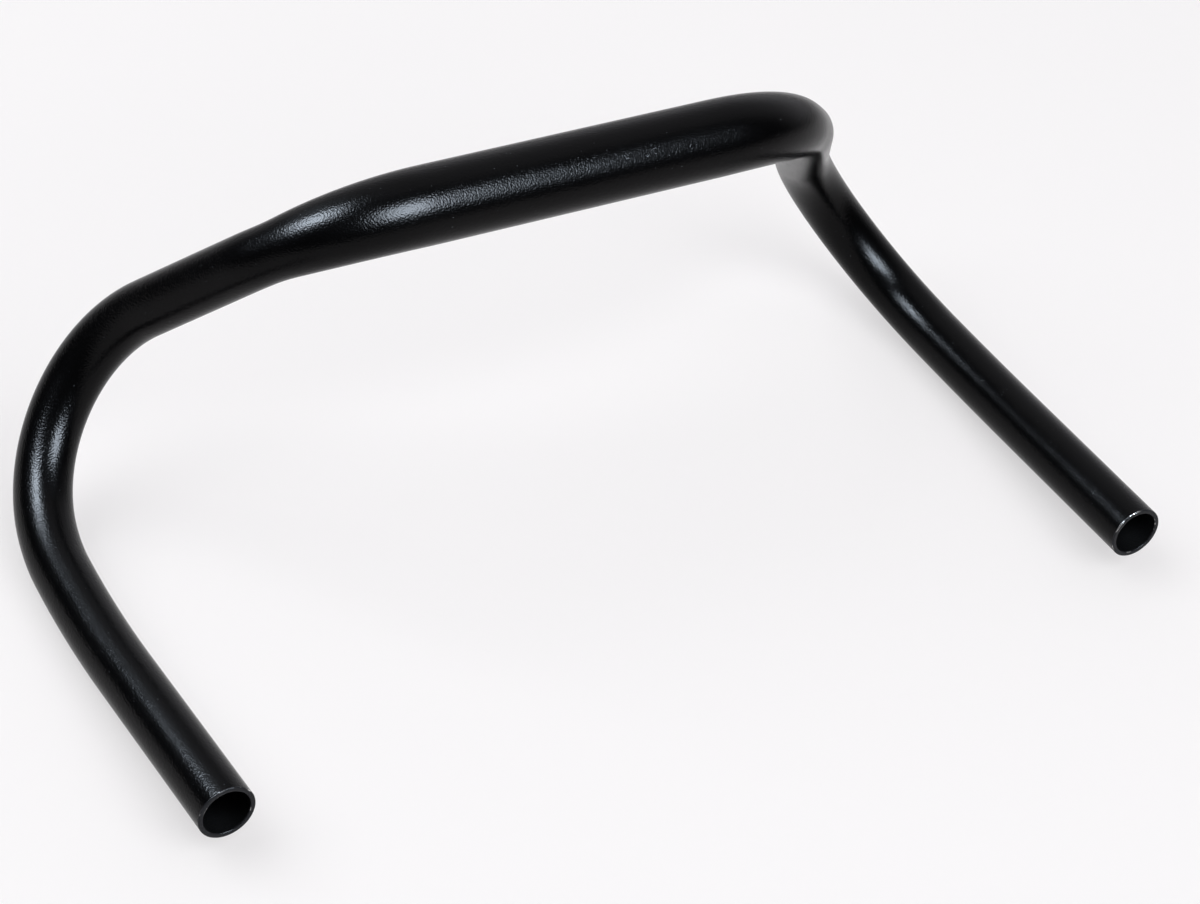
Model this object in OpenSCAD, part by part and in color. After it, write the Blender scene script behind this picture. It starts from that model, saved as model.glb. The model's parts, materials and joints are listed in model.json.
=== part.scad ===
// Drop handlebar for riding off road, made from one round tube. The tube is fat in the middle,
// where the stem holds it, and is swaged down to the size that grips and levers clamp on.
// Each side bends forwards, runs down a short ramp, hooks round below and ends in a long,
// straight, open drop.
//
// It is drawn as it lies on a table, on the undersides of its two hooks and drops. The origin is
// the middle of the clamp. X runs along the clamp, Y points forwards and Z points up.

/* [Tube] */
// Diameter of the bulge that the stem clamps
clamp_d = 31.8; // [25.4:0.1:35]
// Diameter of the ramps, hooks and drops
grip_d = 23.8; // [19:0.1:25]
// Wall of the tube, the same all along
wall = 2; // [1.2:0.1:3]
// Chamfer on both edges of each cut end
end_chamfer = 0.4; // [0.1:0.1:0.8]

/* [Bulge] */
// Length of the bulge at its full diameter
clamp_len = 128; // [60:1:130]
// Length of the taper, measured along the tube, from the bulge down to the grip diameter
taper_len = 71; // [40:1:76]
// Share of the taper over which its slope builds up; a short fillet ends it
taper_onset = 0.85; // [0.2:0.05:0.9]

/* [Tops] */
// Length of the straight middle, from bend to bend
middle_len = 140; // [130:1:200]
// Radius of the bend that turns each side forwards, at the middle of the tube
top_radius = 70; // [60:1:120]
// Angle of that bend
top_angle = 62.5; // [40:0.5:80]
// Length of the straight ramp between the top bend and the hook
ramp_len = 53; // [20:1:90]

/* [Hooks] */
// How far each hook's plane leans outwards from square to the tops
flare = 22; // [0:0.5:40]
// Radius of the hook, at the middle of the tube
hook_radius = 61; // [45:1:90]
// Angle of the hook
hook_angle = 104.5; // [80:0.5:120]
// Radius of the wider bend that follows the hook
tail_radius = 85; // [70:1:150]
// Angle of that wider bend
tail_angle = 15.5; // [5:0.5:30]
// Radius of the slight sweep that leads into the drop
sweep_radius = 500; // [200:10:900]
// Angle of that sweep
sweep_angle = 7; // [1:0.5:12]
// Length of the straight drop, up to the cut end
drop_len = 87; // [60:1:140]

/* [Stance] */
// How far the tops tip down towards the front as the bar lies on its hooks and drops
tops_pitch = 53; // [30:1:70]

/* [Hidden] */
clamp_r = clamp_d / 2;
grip_r = grip_d / 2;
// The taper begins this far before the top bend
taper_lead = (middle_len - clamp_len) / 2;
// Bends, as [radius, angle], of the two stretches that are joined ring to ring: the top bend, which
// is tapered too, and the run out of the hook into the drop
top_bend = [[top_radius, top_angle]];
run_out = [[tail_radius, tail_angle], [sweep_radius, sweep_angle]];
// Facets round those stretches, and the turn from ring to ring, outside and in the bore
outer_sides = 40;
outer_turn = 3.5;
bore_sides = 28;
bore_turn = 5;
// They run this far over the plain stretches at their ends, and stand a hair proud of them, so that
// all the stretches join as one solid
seat = 1;
hair = 0.04;
// The bore runs this far out past the cut end
overrun = 2;
$fn = 96;

function arc_len(bend) = bend[0] * bend[1] * PI / 180;
function path_len(path, k = 0) = k == len(path) ? 0 : arc_len(path[k]) + path_len(path, k + 1);

// Centre line at s along a path of bends, as [x, z, turn]. It starts along Z and bends towards X.
// It is straight before the first bend and past the last one.
function along(path, s, k = 0, at = [0, 0, 0]) =
    s <= 0 || k == len(path) ? [at[0] + s * sin(at[2]), at[1] + s * cos(at[2]), at[2]] :
    let (radius = path[k][0],
         to = at[2] + min(s / arc_len(path[k]), 1) * path[k][1],
         there = [at[0] + radius * (cos(at[2]) - cos(to)), at[1] + radius * (sin(to) - sin(at[2])), to])
    s <= arc_len(path[k]) ? there : along(path, s - arc_len(path[k]), k + 1, there);

// Places for the rings along a path: even in each bend, with one at each end of every bend
function ring_places(path, turn, k = 0, from = 0) =
    k == len(path) ? [from] :
    let (n = ceil(path[k][1] / turn))
    concat([for (i = [0 : n - 1]) from + i * arc_len(path[k]) / n],
           ring_places(path, turn, k + 1, from + arc_len(path[k])));

// Share of the taper's drop in radius that is reached at u, from 0 to 1 along the taper. The slope
// grows evenly up to the onset, and then falls evenly to nothing.
function taper_share(u) =
    u <= 0 ? 0 :
    u >= 1 ? 1 :
    u < taper_onset ? u * u / taper_onset :
    1 - (1 - u) * (1 - u) / (1 - taper_onset);

// Radius of the tube's outside at s, measured from the start of the top bend
function swage_radius(s) = clamp_r - (clamp_r - grip_r) * taper_share((s + taper_lead) / taper_len);

// A round bar joined ring to ring along a path. Each ring's flats stand a hair proud of the radius
// given for its place.
module ringed_bar(path, places, radii, sides) {
    rings = len(places) - 1;
    points = [
        for (i = [0 : rings])
            let (c = along(path, places[i]), r = (radii[i] + hair) / cos(180 / sides))
            for (j = [0 : sides - 1])
                let (t = j * 360 / sides)
                [c[0] + r * cos(t) * cos(c[2]), r * sin(t), c[1] - r * cos(t) * sin(c[2])]
    ];
    walls = [
        for (i = [0 : rings - 1], j = [0 : sides - 1])
            let (a = i * sides + j, b = i * sides + (j + 1) % sides)
            each [[a, a + sides, b], [b, a + sides, b + sides]]
    ];
    caps = [
        [for (j = [0 : sides - 1]) j],
        [for (j = [sides - 1 : -1 : 0]) rings * sides + j]
    ];
    polyhedron(points, concat(walls, caps), convexity = 4);
}

// The tapered lead and top bend. A taper that is longer than both runs on along the ramp.
module swaged_bend(inset, sides, turn) {
    bend_end = path_len(top_bend);
    taper_end = max(bend_end, taper_len - taper_lead);
    places = concat(
        [-taper_lead - seat, -taper_lead],
        ring_places(top_bend, turn),
        taper_end > bend_end ? [for (i = [1 : 4]) bend_end + i * (taper_end - bend_end) / 4] : [],
        [taper_end + seat]
    );
    ringed_bar(top_bend, places, [for (s = places) swage_radius(s) - inset], sides);
}

// The run out of the hook into the drop, with the children at its far end
module run_out_bend(inset, sides, turn) {
    places = concat([-seat], ring_places(run_out, turn), [path_len(run_out) + seat]);
    ringed_bar(run_out, places, [for (s = places) grip_r - inset], sides);
    after_bend(tail_radius, tail_angle)
        after_bend(sweep_radius, sweep_angle)
            children();
}

// Moves the children to the far end of a straight length along Z
module after_straight(length) {
    translate([0, 0, length]) children();
}

// Moves the children to the far end of a bend from Z towards X
module after_bend(radius, angle) {
    translate([radius * (1 - cos(angle)), 0, radius * sin(angle)])
        rotate([0, angle, 0])
            children();
}

// A straight round rod along Z, with the children at its far end
module rod(length, r) {
    cylinder(h = length, r = r);
    after_straight(length) children();
}

// A round rod bent from Z towards X, with the children at its far end
module bent_rod(radius, angle, r) {
    translate([radius, 0, 0])
        rotate([90, 0, 180])
            rotate_extrude(angle = angle)
                translate([radius, 0])
                    circle(r = r);
    after_bend(radius, angle) children();
}

// The last stretch before the cut end. The outside loses a chamfer there, and the bore gains one
// and runs out past the face.
module cut_end(inset) {
    r = grip_r - inset;
    rod(drop_len - end_chamfer, r)
        if (inset == 0) {
            cylinder(h = end_chamfer, r1 = r, r2 = r - end_chamfer);
        } else {
            cylinder(h = end_chamfer, r1 = r, r2 = r + end_chamfer);
            after_straight(end_chamfer) cylinder(h = overrun, r = r + end_chamfer);
        }
}

// One side of the bar from the end of the bulge outwards, in the order in which the tube is bent,
// as a solid whose surface is the given inset below the tube's outside
module side(inset, sides, turn) {
    translate([clamp_len / 2 + taper_lead, 0, 0])
        rotate([90, 0, 90]) {
            swaged_bend(inset, sides, turn);
            after_bend(top_radius, top_angle)
                rotate([0, 0, -90 - flare])
                    rod(ramp_len, grip_r - inset)
                        bent_rod(hook_radius, hook_angle, grip_r - inset)
                            run_out_bend(inset, sides, turn)
                                cut_end(inset);
        }
}

// The whole bar as a solid, with its surface the given inset below the tube's outside
module bar(inset, sides, turn) {
    rotate([0, 90, 0]) cylinder(h = clamp_len, r = clamp_r - inset, center = true);
    for (left = [0, 1])
        mirror([left, 0, 0]) side(inset, sides, turn);
}

module handlebar() {
    color("#1c1d20")
        rotate([-tops_pitch, 0, 0])
            difference() {
                bar(0, outer_sides, outer_turn);
                bar(wall, bore_sides, bore_turn);
            }
}

handlebar();
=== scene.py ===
"""A drop handlebar for riding off road, in satin black, lying on a pale floor in soft studio light."""

import json
import math

import bpy
import numpy as np
from mathutils import Matrix, Vector


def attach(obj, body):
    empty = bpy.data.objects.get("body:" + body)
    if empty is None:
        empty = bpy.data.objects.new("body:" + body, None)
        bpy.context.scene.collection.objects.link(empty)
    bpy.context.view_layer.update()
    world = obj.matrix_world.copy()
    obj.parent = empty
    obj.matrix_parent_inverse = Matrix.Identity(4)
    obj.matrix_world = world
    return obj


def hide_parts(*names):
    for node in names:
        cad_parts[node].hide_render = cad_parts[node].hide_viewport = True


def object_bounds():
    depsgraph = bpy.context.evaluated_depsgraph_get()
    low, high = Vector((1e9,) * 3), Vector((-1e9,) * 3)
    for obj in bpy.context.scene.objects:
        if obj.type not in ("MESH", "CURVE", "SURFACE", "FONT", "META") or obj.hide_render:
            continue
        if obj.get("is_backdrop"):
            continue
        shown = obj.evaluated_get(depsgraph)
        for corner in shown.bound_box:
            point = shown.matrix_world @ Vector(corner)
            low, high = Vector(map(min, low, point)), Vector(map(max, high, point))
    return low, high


bl_info = {
    "name": "Drop handlebar",
    "version": (1, 0, 0),
    "blender": (4, 5, 0),
    "location": "View3D > Sidebar > Handlebar",
    "description": "Builds a bent and swaged bar tube around its packed frame, with its stage",
    "category": "Add Mesh",
}

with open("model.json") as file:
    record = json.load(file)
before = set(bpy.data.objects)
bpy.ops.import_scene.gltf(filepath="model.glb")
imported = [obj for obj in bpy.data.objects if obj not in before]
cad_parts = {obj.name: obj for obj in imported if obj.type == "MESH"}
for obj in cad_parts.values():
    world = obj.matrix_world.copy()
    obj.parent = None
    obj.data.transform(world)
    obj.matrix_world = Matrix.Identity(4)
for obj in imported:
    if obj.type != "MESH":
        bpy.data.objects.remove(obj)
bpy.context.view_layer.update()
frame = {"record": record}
MOUNTS = {mount["name"]: mount for mount in frame["record"]["mounts"]}


def mount_radius(name):
    """Radius of a round mount, in metres."""
    return MOUNTS[name]["dims"]["r_mm"] / 1000


CLAMP_RADIUS = mount_radius("stem_clamp")
GRIP_RADIUS = mount_radius("right_grip")
BORE_RADIUS = mount_radius("right_end_bore")
RAMP_AXIS = MOUNTS["right_ramp"]["axis"]

# How finely the tube is drawn: rings along half of its outside and of its bore, rings round each edge
# of a cut end, and points round each ring
OUTSIDE_RINGS = 240
BORE_RINGS = 90
LIP_RINGS = 5
TUBE_SIDES = 96

# Patches of fine scuffing where a stem has been clamped, as the middle and the reach of each, in metres
SCUFFS = (
    ((-0.004, -0.0108, 0.0117), 0.007),
    ((0.017, -0.0116, 0.0109), 0.005),
    ((0.029, -0.0113, 0.0112), 0.008),
    ((0.046, -0.0120, 0.0104), 0.004),
)
# What the noise of the flecks gains in the middle of a patch
SCUFF_GAIN = 0.16
# Turn and scale of the flecks, which are drawn out one way, and the noise levels between which they show
FLECK_TURN = (0.4, 0.2, 0.5)
FLECK_SCALE = (800, 1500, 1500)
FLECK_LEVELS = (0.78, 0.84)
# Noise scale of the chips, and the noise levels between which they show
CHIP_SCALE = 160.0
CHIP_LEVELS = (0.55, 0.62)
# Noise scale of the mottling, how many times lighter it makes the coat at most, and the roughness that
# it adds
MOTTLE_SCALE = 60.0
MOTTLE_GAIN = 1.5
MOTTLE_ROUGHNESS = 0.06
# Roughness that the bore adds
BORE_ROUGHNESS = 0.3
# Height of the coat's grain, in metres
GRAIN_HEIGHT = 0.0001

# Half the floor's width, the distances between which painted shade darkens its colour away from the bar,
# and the share of its colour that is left beyond them
FLOOR_HALF_WIDTH = 12.0
FLOOR_SHADE_FADE = (0.6, 2.2)
FLOOR_SHADE_SHARE = 0.3
# Azimuths, elevation and angular size of the two broad lamps, in degrees
BROAD_AZIMUTHS = {"left_lamp": -58, "right_lamp": 170}
BROAD_ELEVATION = 48
BROAD_SPAN = (46, 42)
# A softbox's hot middle is half its size, and hangs this share of the way nearer to the aim
MIDDLE_SIZE = 0.5
MIDDLE_NEARER = 0.02
# The pale room: its azimuth in degrees, how squarely a direction faces it where it begins and where it
# is full, and the heights between which it loses a share of its light
ROOM_AZIMUTH = 40
ROOM_EDGE = (0.2, 0.85)
ROOM_FADE = (0.05, 0.55)
ROOM_FADE_SHARE = 0.25


class BarSizes(bpy.types.PropertyGroup):
    """The sizes that shape the tube. Its diameters, its stance and its top bend's angle come from the
    frame's mounts."""

    middle_length: bpy.props.FloatProperty(
        name="Middle", description="Straight middle, from bend to bend",
        default=0.140, unit="LENGTH"
    )
    clamp_length: bpy.props.FloatProperty(
        name="Bulge", description="Length of the bulge at its full diameter",
        default=0.128, unit="LENGTH"
    )
    taper_length: bpy.props.FloatProperty(
        name="Taper", description="Length along the tube from the bulge to the grip diameter",
        default=0.071, unit="LENGTH"
    )
    taper_onset: bpy.props.FloatProperty(
        name="Taper onset", description="Share of the taper over which its slope builds up",
        default=0.85, subtype="FACTOR"
    )
    top_radius: bpy.props.FloatProperty(
        name="Top bend", description="Radius of each top bend", default=0.070, unit="LENGTH"
    )
    top_angle: bpy.props.FloatProperty(
        name="Top bend angle", description="Angle of each top bend",
        default=math.acos(RAMP_AXIS[0]), subtype="ANGLE"
    )
    ramp_length: bpy.props.FloatProperty(
        name="Ramp", description="Straight ramp between the top bend and the hook",
        default=0.053, unit="LENGTH"
    )
    flare: bpy.props.FloatProperty(
        name="Flare", description="How far each hook leans outwards",
        default=math.radians(22), subtype="ANGLE"
    )
    hook_radius: bpy.props.FloatProperty(
        name="Hook", description="Radius of each hook", default=0.061, unit="LENGTH"
    )
    hook_angle: bpy.props.FloatProperty(
        name="Hook angle", description="Angle of each hook",
        default=math.radians(104.5), subtype="ANGLE"
    )
    tail_radius: bpy.props.FloatProperty(
        name="Tail", description="Radius of the wider bend after the hook",
        default=0.085, unit="LENGTH"
    )
    tail_angle: bpy.props.FloatProperty(
        name="Tail angle", description="Angle of that wider bend",
        default=math.radians(15.5), subtype="ANGLE"
    )
    sweep_radius: bpy.props.FloatProperty(
        name="Sweep", description="Radius of the slight sweep into the drop",
        default=0.500, unit="LENGTH"
    )
    sweep_angle: bpy.props.FloatProperty(
        name="Sweep angle", description="Angle of that sweep", default=math.radians(7), subtype="ANGLE"
    )
    drop_length: bpy.props.FloatProperty(
        name="Drop", description="Straight drop up to the cut end", default=0.087, unit="LENGTH"
    )
    lip_radius: bpy.props.FloatProperty(
        name="Lip", description="Rounding of both edges of a cut end", default=0.0004, unit="LENGTH"
    )
    tops_pitch: bpy.props.FloatProperty(
        name="Stance", description="How far the tops tip down towards the front",
        default=math.atan2(-RAMP_AXIS[2], RAMP_AXIS[1]), subtype="ANGLE"
    )


class CoatLook(bpy.types.PropertyGroup):
    """The finish of the tube."""

    coat: bpy.props.FloatVectorProperty(
        name="Coat", description="Colour of the black coat", subtype="COLOR",
        default=(0.0012, 0.0012, 0.0014)
    )
    coat_roughness: bpy.props.FloatProperty(
        name="Coat roughness", description="Roughness of the coat", default=0.21, subtype="FACTOR"
    )
    coat_gloss: bpy.props.FloatProperty(
        name="Coat gloss", description="How much the coat reflects; 0.5 is a plain varnish",
        default=0.085, subtype="FACTOR"
    )
    grain_size: bpy.props.FloatProperty(
        name="Grain", description="Size of the coat's grain", default=0.0007, unit="LENGTH"
    )
    scuffed: bpy.props.FloatVectorProperty(
        name="Scuffs", description="Colour of the clamp scuffs", subtype="COLOR",
        default=(0.16, 0.18, 0.20)
    )
    worn_lip: bpy.props.FloatVectorProperty(
        name="Worn lip", description="Colour of the cut faces", subtype="COLOR",
        default=(0.018, 0.019, 0.022)
    )
    bare_metal: bpy.props.FloatVectorProperty(
        name="Bare metal", description="Colour of chips along the cut edges", subtype="COLOR",
        default=(0.62, 0.61, 0.60)
    )


class StageLook(bpy.types.PropertyGroup):
    """The floor, lamps and camera."""

    floor: bpy.props.FloatVectorProperty(
        name="Floor", description="Colour of the floor", subtype="COLOR",
        default=(0.925, 0.911, 0.919)
    )
    floor_glow: bpy.props.FloatProperty(
        name="Shadow fill", description="Share of the floor's brightness that shadows don't darken",
        default=0.6, subtype="FACTOR"
    )
    room: bpy.props.FloatVectorProperty(
        name="Room", description="Colour of the pale room in front of the bar", subtype="COLOR",
        default=(0.96, 0.95, 1.0)
    )
    lamp_level: bpy.props.FloatProperty(
        name="Lamps", description="Radiance of each broad lamp, where a plain white is 1", default=3.3
    )
    lamp_distance: bpy.props.FloatProperty(
        name="Lamp distance", description="From the bar to each broad lamp", default=4.0, unit="LENGTH"
    )
    box_tint: bpy.props.FloatVectorProperty(
        name="Softbox tint", description="Colour of the softboxes", subtype="COLOR",
        default=(0.78, 0.88, 1.0)
    )
    left_box: bpy.props.FloatVectorProperty(
        name="Left softbox", description="Middle of the left softbox", subtype="TRANSLATION",
        default=(-0.55, 0.20, 0.58)
    )
    left_box_size: bpy.props.FloatVectorProperty(
        name="Left softbox size", description="Its width and height", size=2, unit="LENGTH",
        default=(0.48, 0.46)
    )
    left_box_level: bpy.props.FloatVectorProperty(
        name="Left softbox level", size=2,
        description="Its radiance all over, and what its hot middle adds",
        default=(26.0, 64.0)
    )
    right_box: bpy.props.FloatVectorProperty(
        name="Right softbox", description="Middle of the right softbox", subtype="TRANSLATION",
        default=(0.03, -0.57, 0.52)
    )
    right_box_size: bpy.props.FloatVectorProperty(
        name="Right softbox size", description="Its width and height", size=2, unit="LENGTH",
        default=(0.50, 0.46)
    )
    right_box_level: bpy.props.FloatVectorProperty(
        name="Right softbox level", size=2,
        description="Its radiance all over, and what its hot middle adds",
        default=(42.0, 32.0)
    )
    front_box: bpy.props.FloatVectorProperty(
        name="Front softbox", description="Middle of the dim front softbox", subtype="TRANSLATION",
        default=(-0.31, 0.45, 0.37)
    )
    front_box_size: bpy.props.FloatVectorProperty(
        name="Front softbox size", description="Its width and height", size=2, unit="LENGTH",
        default=(0.36, 0.32)
    )
    front_box_level: bpy.props.FloatVectorProperty(
        name="Front softbox level", size=2,
        description="Its radiance all over, and what its hot middle adds",
        default=(0.8, 1.2)
    )
    aim: bpy.props.FloatVectorProperty(
        name="Aim", description="What the camera looks at", subtype="TRANSLATION",
        default=(-0.0168, -0.0756, -0.0806)
    )
    camera_azimuth: bpy.props.FloatProperty(
        name="Azimuth", description="Camera's side, from square behind the bar towards its right end",
        default=math.radians(-37.78), subtype="ANGLE"
    )
    camera_elevation: bpy.props.FloatProperty(
        name="Elevation", description="Camera's height above the floor, as an angle",
        default=math.radians(40.99), subtype="ANGLE"
    )
    camera_roll: bpy.props.FloatProperty(
        name="Roll", description="Camera's roll", default=math.radians(11.70), subtype="ANGLE"
    )
    camera_distance: bpy.props.FloatProperty(
        name="Distance", description="From the camera to what it looks at", default=1.4925, unit="LENGTH"
    )
    lens: bpy.props.FloatProperty(
        name="Lens", description="Focal length on a 36 mm sensor",
        default=113.0, subtype="DISTANCE_CAMERA"
    )


def stretches(sizes):
    """Right half of the tube from its middle outwards: each stretch's length, bend radius (0 where it
    is straight) and the roll of its bend plane before it."""
    hook_plane = -math.pi / 2 - sizes.flare
    return [
        (sizes.middle_length / 2, 0.0, 0.0),
        (sizes.top_radius * sizes.top_angle, sizes.top_radius, 0.0),
        (sizes.ramp_length, 0.0, 0.0),
        (sizes.hook_radius * sizes.hook_angle, sizes.hook_radius, hook_plane),
        (sizes.tail_radius * sizes.tail_angle, sizes.tail_radius, 0.0),
        (sizes.sweep_radius * sizes.sweep_angle, sizes.sweep_radius, 0.0),
        (sizes.drop_length, 0.0, 0.0),
    ]


def centre_line(sizes, along):
    """Points, directions and two cross axes of the right half's centre line at the distances along it.

    In a bend of radius R that starts at P with direction T and side N, the point at the arc a is
    P + R (sin a T + (1 - cos a) N), and its direction is cos a T + sin a N. The cross axes turn with
    the direction, so that the rings of the tube never twist.
    """
    point, ahead = np.zeros(3), np.array([1.0, 0.0, 0.0])
    side, up = np.array([0.0, 1.0, 0.0]), np.array([0.0, 0.0, 1.0])
    carried = side.copy()
    points, directions, across = (np.zeros((len(along), 3)) for _ in range(3))
    start = 0.0
    for length, radius, roll in stretches(sizes):
        side, up = (
            math.cos(roll) * side + math.sin(roll) * up,
            math.cos(roll) * up - math.sin(roll) * side,
        )
        here = (along >= start - 1e-12) if start else np.ones(len(along), bool)
        s = np.append(along[here] - start, length)
        if radius:
            a = s[:, None] / radius
            at = point + radius * (np.sin(a) * ahead + (1 - np.cos(a)) * side)
            to = np.cos(a) * ahead + np.sin(a) * side
            turned_side = np.cos(a) * side - np.sin(a) * ahead
        else:
            at = point + s[:, None] * ahead
            to = np.repeat(ahead[None], len(s), 0)
            turned_side = np.repeat(side[None], len(s), 0)
        cross = (carried @ side) * turned_side + (carried @ up) * up
        points[here], directions[here], across[here] = at[:-1], to[:-1], cross[:-1]
        point, ahead, side, carried = at[-1], to[-1], turned_side[-1], cross[-1]
        start += length
    return points, directions, across, np.cross(directions, across)


def half_length(sizes):
    """Length of the centre line from the middle of the clamp to a cut end."""
    return sum(length for length, _, _ in stretches(sizes))


def outside_radius(sizes, along):
    """Radius of the outside: the clamp's, then less by a share of the drop to the grip's. The share at
    u along the taper is u u / k up to the onset k, and 1 - (1 - u)(1 - u) / (1 - k) from there on."""
    u = np.clip((along - sizes.clamp_length / 2) / sizes.taper_length, 0, 1)
    k = sizes.taper_onset
    share = np.where(u < k, u * u / k, 1 - (1 - u) ** 2 / (1 - k))
    return CLAMP_RADIUS - (CLAMP_RADIUS - GRIP_RADIUS) * share


def tube_profile(sizes):
    """The half tube's wall as one open line: distance along, radius and marks for each ring, from the
    middle out along the outside, round the cut end and back along the bore. Each lip is a quarter circle
    of the lip radius, and its edge mark is sin 2a at the angle a round it."""
    end, lip, wall = half_length(sizes), sizes.lip_radius, GRIP_RADIUS - BORE_RADIUS
    outside = np.append(np.arange(OUTSIDE_RINGS) / OUTSIDE_RINGS * (end - 3 * lip), end - 2 * lip)
    bore = np.append(end - 2 * lip, np.arange(BORE_RINGS)[::-1] / BORE_RINGS * (end - 3 * lip))
    arc = np.linspace(0, math.pi / 2, LIP_RINGS)
    outer_lip = np.stack([end - lip + lip * np.sin(arc), GRIP_RADIUS - lip + lip * np.cos(arc)])
    inner_lip = np.stack([end - lip + lip * np.cos(arc), BORE_RADIUS + lip - lip * np.sin(arc)])
    along = np.concatenate([outside, outer_lip[0], inner_lip[0], bore])
    radius = np.concatenate([
        outside_radius(sizes, outside), outer_lip[1], inner_lip[1], outside_radius(sizes, bore) - wall
    ])
    none_outside, none_in_bore, edge = np.zeros(len(outside)), np.zeros(len(bore)), np.sin(2 * arc)
    marks = {
        "bore": np.concatenate([none_outside, np.zeros(2 * LIP_RINGS), np.ones(len(bore))]),
        "lip": np.concatenate([none_outside, np.ones(2 * LIP_RINGS), none_in_bore]),
        "edge": np.concatenate([none_outside, edge, edge, none_in_bore]),
    }
    return along, radius, marks


def tube_surface(sizes):
    """Rings of the whole bar as an array (ring, side, xyz), in one closed loop: the right half's rings,
    then the left half's in reverse, which are the same with x turned round. A point is the centre line
    plus the radius times (cos t of one cross axis + sin t of the other)."""
    along, radius, marks = tube_profile(sizes)
    points, _, across, other = centre_line(sizes, along)
    t = np.arange(TUBE_SIDES) / TUBE_SIDES * 2 * math.pi
    spoke = np.cos(t)[:, None] * across[:, None] + np.sin(t)[:, None] * other[:, None]
    right = points[:, None] + radius[:, None, None] * spoke
    pitch = sizes.tops_pitch
    right = right @ np.array([
        [1, 0, 0],
        [0, math.cos(pitch), -math.sin(pitch)],
        [0, math.sin(pitch), math.cos(pitch)],
    ])
    left = (right * [-1, 1, 1])[::-1]
    rings = np.concatenate([right, left[1:-1]])
    return rings, {label: np.concatenate([mark, mark[::-1][1:-1]]) for label, mark in marks.items()}


def looped_faces(rings, sides):
    """Four-sided faces of a grid that closes on itself both ways. A face joins each point to the next
    one round its ring and to the two beside them on the next ring."""
    i, j = np.meshgrid(np.arange(rings), np.arange(sides), indexing="ij")
    next_i, next_j = (i + 1) % rings, (j + 1) % sides
    corners = [i * sides + j, i * sides + next_j, next_i * sides + next_j, next_i * sides + j]
    return np.stack(corners, -1).reshape(-1, 4)


def turned_outwards(points, faces):
    """The faces, turned over if the volume that they enclose comes out negative."""
    a, b, c, d = (points[faces[:, k]] for k in range(4))
    volume = np.sum(a * np.cross(b, c)) + np.sum(a * np.cross(c, d))
    return faces if volume > 0 else faces[:, ::-1]


def mesh_object(name, points, faces, material, marks=None):
    """A smooth mesh object at the origin, with its marks as point attributes."""
    mesh = bpy.data.meshes.new(name)
    mesh.from_pydata(points, [], faces)
    mesh.polygons.foreach_set("use_smooth", np.ones(len(faces), bool))
    for label, values in (marks or {}).items():
        mesh.attributes.new(label, "FLOAT", "POINT").data.foreach_set("value", values)
    mesh.materials.append(material)
    mesh.update()
    made = bpy.data.objects.new(name, mesh)
    bpy.context.scene.collection.objects.link(made)
    return made


class Nodes:
    """Shorthand for the nodes of one material or world."""

    def __init__(self, owner):
        owner.use_nodes = True
        self.tree = owner.node_tree
        self.tree.nodes.clear()

    def add(self, kind, inputs=None, **settings):
        """A node with its settings, and its inputs set to values or linked from sockets."""
        node = self.tree.nodes.new(kind)
        for key, value in settings.items():
            setattr(node, key, value)
        for key, value in (inputs or {}).items():
            if isinstance(value, bpy.types.NodeSocket):
                self.tree.links.new(value, node.inputs[key])
            else:
                node.inputs[key].default_value = value
        return node

    def math(self, operation, a, b=0.0, clamp=False):
        """The result of one operation on two numbers."""
        return self.add("ShaderNodeMath", {0: a, 1: b}, operation=operation, use_clamp=clamp).outputs[0]

    def ramp(self, value, low, high):
        """0 below low, 1 above high, and smooth in between."""
        inputs = {"Value": value, "From Min": low, "From Max": high}
        return self.add("ShaderNodeMapRange", inputs, interpolation_type="SMOOTHSTEP").outputs[0]

    def noise(self, place, scale, detail):
        """Noise between 0 and 1 at a place."""
        return self.add("ShaderNodeTexNoise", {"Vector": place, "Scale": scale, "Detail": detail}).outputs[0]

    def mark(self, label):
        """One of the mesh's own marks."""
        return self.add("ShaderNodeAttribute", attribute_name=label).outputs["Fac"]

    def blend(self, factor, a, b):
        """Colour a where the factor is 0, and b where it is 1."""
        node = self.add("ShaderNodeMix", data_type="RGBA")
        for socket, value in ((node.inputs[0], factor), (node.inputs[6], a), (node.inputs[7], b)):
            if isinstance(value, bpy.types.NodeSocket):
                self.tree.links.new(value, socket)
            else:
                socket.default_value = value
        return node.outputs[2]


def rgba(colour):
    """A colour with full alpha."""
    return (*colour, 1.0)


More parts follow.
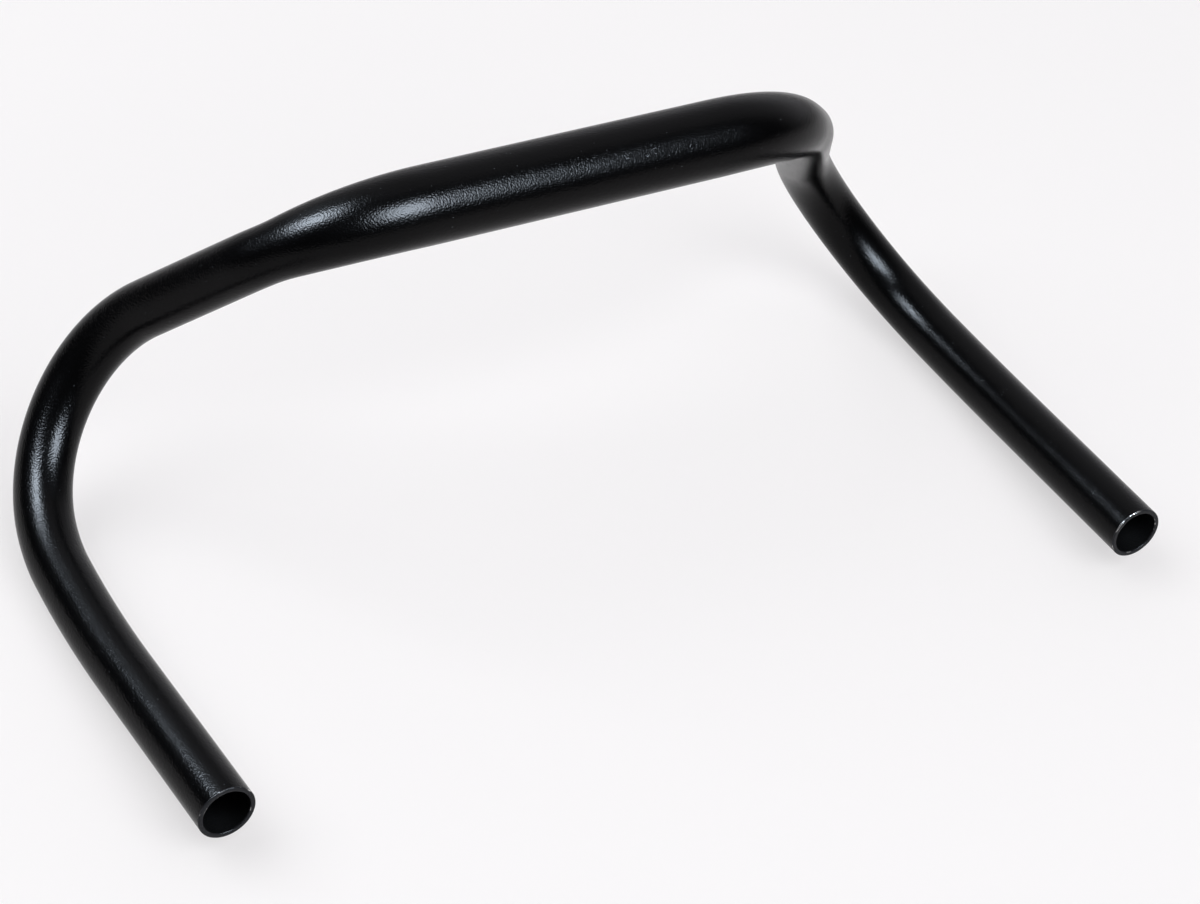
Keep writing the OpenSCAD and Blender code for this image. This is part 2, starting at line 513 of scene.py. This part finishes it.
def coat_material(look):
    """Satin black coat with a fine grain and faint mottling, scuffed in places at the clamp, worn on both
    cut ends and down to bare metal along parts of their edges."""
    material = bpy.data.materials.new("satin_black_coat")
    n = Nodes(material)
    place = n.add("ShaderNodeTexCoord").outputs["Object"]
    grain = n.noise(place, 1 / look.grain_size, 0.0)
    mottle = n.noise(place, MOTTLE_SCALE, 3.0)
    lip, edge, bore = n.mark("lip"), n.mark("edge"), n.mark("bore")

    chips = n.math("MULTIPLY", n.ramp(n.noise(place, CHIP_SCALE, 5.0), *CHIP_LEVELS), edge)

    near_scuffs = 0.0
    for middle, reach in SCUFFS:
        away = n.add("ShaderNodeVectorMath", {0: place, 1: middle}, operation="DISTANCE").outputs["Value"]
        patch = n.math("SUBTRACT", 1.0, n.ramp(away, 0.0, reach))
        near_scuffs = n.math("MAXIMUM", near_scuffs, patch)
    drawn = n.add("ShaderNodeMapping", {"Vector": place, "Rotation": FLECK_TURN, "Scale": FLECK_SCALE})
    flecks = n.noise(drawn.outputs[0], 1.0, 1.0)
    scuffs = n.math("ADD", flecks, n.math("MULTIPLY", near_scuffs, SCUFF_GAIN))
    scuffs = n.ramp(scuffs, *FLECK_LEVELS)

    base = n.blend(mottle, rgba(look.coat), rgba([MOTTLE_GAIN * c for c in look.coat]))
    base = n.blend(scuffs, base, rgba(look.scuffed))
    base = n.blend(lip, base, rgba(look.worn_lip))
    base = n.blend(chips, base, rgba(look.bare_metal))
    least = look.coat_roughness - MOTTLE_ROUGHNESS / 2
    roughness = n.math("ADD", least, n.math("MULTIPLY", mottle, MOTTLE_ROUGHNESS))
    roughness = n.math("ADD", roughness, n.math("MULTIPLY", bore, BORE_ROUGHNESS), clamp=True)
    bump = n.add("ShaderNodeBump", {"Height": grain, "Strength": 1.0, "Distance": GRAIN_HEIGHT})
    shader = n.add("ShaderNodeBsdfPrincipled", {
        "Base Color": base, "Roughness": roughness, "Metallic": chips, "Normal": bump.outputs[0],
        "Specular IOR Level": look.coat_gloss,
    })
    n.add("ShaderNodeOutputMaterial", {"Surface": shader.outputs[0]})
    return material


def floor_material(look):
    """Plain pale paper, whose colour darkens far away from the bar as painted shade, as if the light fell
    off there. The camera and reflections see a share of it unshaded, so that shadows stay light."""
    material = bpy.data.materials.new("pale_floor")
    n = Nodes(material)
    place = n.add("ShaderNodeTexCoord").outputs["Object"]
    away = n.add("ShaderNodeVectorMath", {0: place}, operation="LENGTH").outputs["Value"]
    # Painted shade: far from the bar the floor's colour drops to a share of itself, as if the light fell off
    # there
    far = rgba([FLOOR_SHADE_SHARE * c for c in look.floor])
    colour = n.blend(n.ramp(away, *FLOOR_SHADE_FADE), rgba(look.floor), far)
    paper = n.add("ShaderNodeBsdfPrincipled", {
        "Base Color": colour, "Roughness": 0.9, "Specular IOR Level": 0.1,
    })
    glow = n.add("ShaderNodeEmission", {"Color": colour, "Strength": 1.0})
    ray = n.add("ShaderNodeLightPath").outputs
    seen = n.math("MAXIMUM", ray["Is Camera Ray"], ray["Is Glossy Ray"])
    seen = n.math("MAXIMUM", seen, ray["Is Transmission Ray"])
    share = n.math("MULTIPLY", seen, look.floor_glow)
    mixed = n.add("ShaderNodeMixShader", {0: share, 1: paper.outputs[0], 2: glow.outputs[0]})
    n.add("ShaderNodeOutputMaterial", {"Surface": mixed.outputs[0]})
    return material


def compass(azimuth, elevation):
    """Direction at an azimuth, clockwise from the front seen from above, and an elevation, in degrees."""
    a, e = math.radians(azimuth), math.radians(elevation)
    return Vector((math.sin(a) * math.cos(e), math.cos(a) * math.cos(e), math.sin(e)))


def lamp_at(name, place, aim, width, height, radiance, colour=(1.0, 1.0, 1.0)):
    """An oblong lamp at a place, facing its aim, with the given radiance and hidden from the camera."""
    lamp = bpy.data.lights.new(name, "AREA")
    lamp.shape = "RECTANGLE"
    lamp.size, lamp.size_y = width, height
    lamp.energy = math.pi * width * height * radiance
    lamp.color = colour
    made = bpy.data.objects.new(name, lamp)
    bpy.context.scene.collection.objects.link(made)
    made.location = place
    made.rotation_euler = (Vector(place) - Vector(aim)).to_track_quat("Z", "Y").to_euler()
    made.visible_camera = False
    return made


def broad_lamp(name, azimuth, look):
    """A far, broad lamp at an azimuth, that lights the scene evenly and doesn't show in the gloss."""
    far = look.lamp_distance
    spans = [2 * far * math.tan(math.radians(angle / 2)) for angle in BROAD_SPAN]
    made = lamp_at(name, far * compass(azimuth, BROAD_ELEVATION), (0, 0, 0), *spans, look.lamp_level)
    made.visible_glossy = False


def softbox(name, place, size, levels, look):
    """A near softbox with a hot middle, that shows only as a gleam on the coat."""
    place, size = Vector(place), Vector(size)
    lamp_at(name, place, look.aim, *size, levels[0], look.box_tint).visible_diffuse = False
    nearer, smaller = place.lerp(Vector(look.aim), MIDDLE_NEARER), MIDDLE_SIZE * size
    lamp_at(name + "_middle", nearer, look.aim, *smaller, levels[1], look.box_tint).visible_diffuse = False


def room_light(world, look):
    """A pale room low down in front of the bar, dimmer higher up, and dark behind it."""
    n = Nodes(world)
    way = n.add("ShaderNodeTexCoord").outputs["Generated"]
    height = n.add("ShaderNodeSeparateXYZ", {"Vector": way}).outputs[2]
    flat = n.add("ShaderNodeVectorMath", {0: way, 1: (1.0, 1.0, 0.0)}, operation="MULTIPLY").outputs[0]
    level = n.add("ShaderNodeVectorMath", {0: flat}, operation="NORMALIZE").outputs[0]
    facing = {0: level, 1: compass(ROOM_AZIMUTH, 0)}
    front = n.add("ShaderNodeVectorMath", facing, operation="DOT_PRODUCT").outputs["Value"]
    side = n.ramp(front, *ROOM_EDGE)
    low = n.math("SUBTRACT", 1.0, n.math("MULTIPLY", n.ramp(height, *ROOM_FADE), ROOM_FADE_SHARE))
    strength = n.math("MULTIPLY", side, low)
    background = n.add("ShaderNodeBackground", {"Color": rgba(look.room), "Strength": strength})
    n.add("ShaderNodeOutputWorld", {"Surface": background.outputs[0]})


class BAR_OT_tube(bpy.types.Operator):
    """Build the bar tube, with its bore and both cut ends, in its satin black coat"""

    bl_idname = "handlebar.tube"
    bl_label = "Bar tube"

    def execute(self, context):
        rings, marks = tube_surface(context.scene.bar_sizes)
        points = rings.reshape(-1, 3)
        faces = turned_outwards(points, looped_faces(len(rings), TUBE_SIDES))
        marks = {label: np.repeat(mark, TUBE_SIDES) for label, mark in marks.items()}
        tube = mesh_object("bar_tube", points, faces, coat_material(context.scene.coat_look), marks)
        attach(tube, "root")
        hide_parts("handlebar")
        return {"FINISHED"}


class BAR_OT_stage(bpy.types.Operator):
    """Lay the pale floor, and set the lamps, the softboxes, the room and the camera"""

    bl_idname = "handlebar.stage"
    bl_label = "Stage"

    def execute(self, context):
        scene, look = context.scene, context.scene.stage_look
        half, level = FLOOR_HALF_WIDTH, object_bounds()[0][2]
        corners = np.array([(-half, -half, 0), (half, -half, 0), (half, half, 0), (-half, half, 0)])
        floor = mesh_object("floor", corners + [0, 0, level], np.array([[0, 1, 2, 3]]), floor_material(look))
        floor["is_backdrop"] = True
        for name, azimuth in BROAD_AZIMUTHS.items():
            broad_lamp(name, azimuth, look)
        softbox("left_softbox", look.left_box, look.left_box_size, look.left_box_level, look)
        softbox("right_softbox", look.right_box, look.right_box_size, look.right_box_level, look)
        softbox("front_softbox", look.front_box, look.front_box_size, look.front_box_level, look)
        scene.world = bpy.data.worlds.new("room")
        room_light(scene.world, look)
        self.place_camera(scene, look)
        scene.view_settings.view_transform = "Standard"
        return {"FINISHED"}

    def place_camera(self, scene, look):
        """The camera stands back from its aim along its azimuth and elevation, and is then rolled."""
        camera = bpy.data.objects.new("camera", bpy.data.cameras.new("camera"))
        scene.collection.objects.link(camera)
        a, e = look.camera_azimuth, look.camera_elevation
        back = Vector((math.sin(a) * math.cos(e), -math.cos(a) * math.cos(e), math.sin(e)))
        turn = (-back).to_track_quat("-Z", "Y").to_matrix() @ Matrix.Rotation(look.camera_roll, 3, "Z")
        stand = Vector(look.aim) + look.camera_distance * back
        camera.matrix_world = Matrix.Translation(stand) @ turn.to_4x4()
        camera.data.sensor_width = 36.0
        camera.data.lens = look.lens
        scene.camera = camera


class BAR_PT_panel(bpy.types.Panel):
    """Sizes and finish of the handlebar, with a button for each operator"""

    bl_idname = "BAR_PT_panel"
    bl_label = "Handlebar"
    bl_space_type = "VIEW_3D"
    bl_region_type = "UI"
    bl_category = "Handlebar"

    def draw(self, context):
        for operator in OPERATORS:
            self.layout.operator(operator.bl_idname)
        for group in GROUPS:
            box = self.layout.box()
            for name in group.__annotations__:
                box.prop(getattr(context.scene, GROUPS[group]), name)


GROUPS = {BarSizes: "bar_sizes", CoatLook: "coat_look", StageLook: "stage_look"}
OPERATORS = (BAR_OT_tube, BAR_OT_stage)


def register():
    for group, name in GROUPS.items():
        bpy.utils.register_class(group)
        setattr(bpy.types.Scene, name, bpy.props.PointerProperty(type=group))
    for operator in OPERATORS:
        bpy.utils.register_class(operator)
    bpy.utils.register_class(BAR_PT_panel)


def unregister():
    bpy.utils.unregister_class(BAR_PT_panel)
    for operator in reversed(OPERATORS):
        bpy.utils.unregister_class(operator)
    for group, name in reversed(GROUPS.items()):
        delattr(bpy.types.Scene, name)
        bpy.utils.unregister_class(group)


def main():
    register()
    bpy.ops.handlebar.tube()
    bpy.ops.handlebar.stage()


if __name__ == "__main__":
    main()
